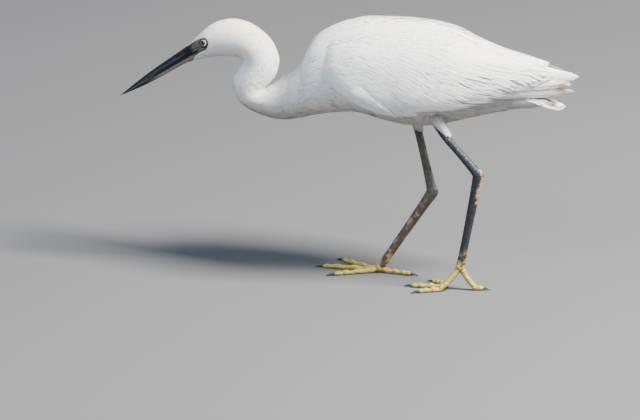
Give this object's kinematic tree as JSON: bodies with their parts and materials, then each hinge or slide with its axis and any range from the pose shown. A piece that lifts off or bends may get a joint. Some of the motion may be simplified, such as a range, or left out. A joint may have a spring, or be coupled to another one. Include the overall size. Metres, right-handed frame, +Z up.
{
  "type": "little egret",
  "caption": "Life-size still model of a small white egret in a slow stalking step, neck folded back and dagger bill held low.",
  "frame": {"origin": "on the ground, at the middle of the bird's length and width", "axes": "+X from the bill towards the tail, +Y towards the bird's right side, +Z up"},
  "size_m": [0.4798, 0.0996, 0.2705],
  "materials": {
    "plumage": "soft white feathers, faint cream on the nape, matt with a slight sheen",
    "bill": "blue-black horn, satin",
    "bill_lower": "black horn turning flesh-grey towards the chin, satin",
    "bare_skin": "grey-green bare facial skin, fine-pored, satin",
    "eye": "pale yellow iris round a black pupil under a clear, wet surface",
    "leg_skin": "black scaly skin, ochre at the heel, mud-stained, satin",
    "toe_skin": "dull yellow scaly skin, satin",
    "claw": "black horn, satin"
  },
  "bodies": {
    "root": {"bill_upper": "bill", "bill_lower": "bill_lower", "head": "plumage", "lore_left": "bare_skin", "lore_right": "bare_skin", "eye_left": "eye", "eye_right": "eye", "neck_upper": "plumage", "neck_middle": "plumage", "neck_lower": "plumage", "torso": "plumage", "wing_left": "plumage", "wing_right": "plumage", "tail": "plumage", "thigh_left": "plumage", "shank_left": "leg_skin", "tarsus_left": "leg_skin", "foot_left": "toe_skin", "toe_left_middle": "toe_skin", "claw_left_middle": "claw", "toe_left_inner": "toe_skin", "claw_left_inner": "claw", "toe_left_outer": "toe_skin", "claw_left_outer": "claw", "toe_left_hind": "toe_skin", "claw_left_hind": "claw", "thigh_right": "plumage", "shank_right": "leg_skin", "tarsus_right": "leg_skin", "foot_right": "toe_skin", "toe_right_middle": "toe_skin", "claw_right_middle": "claw", "toe_right_inner": "toe_skin", "claw_right_inner": "claw", "toe_right_outer": "toe_skin", "claw_right_outer": "claw", "toe_right_hind": "toe_skin", "claw_right_hind": "claw"}
  },
  "joints": []
}
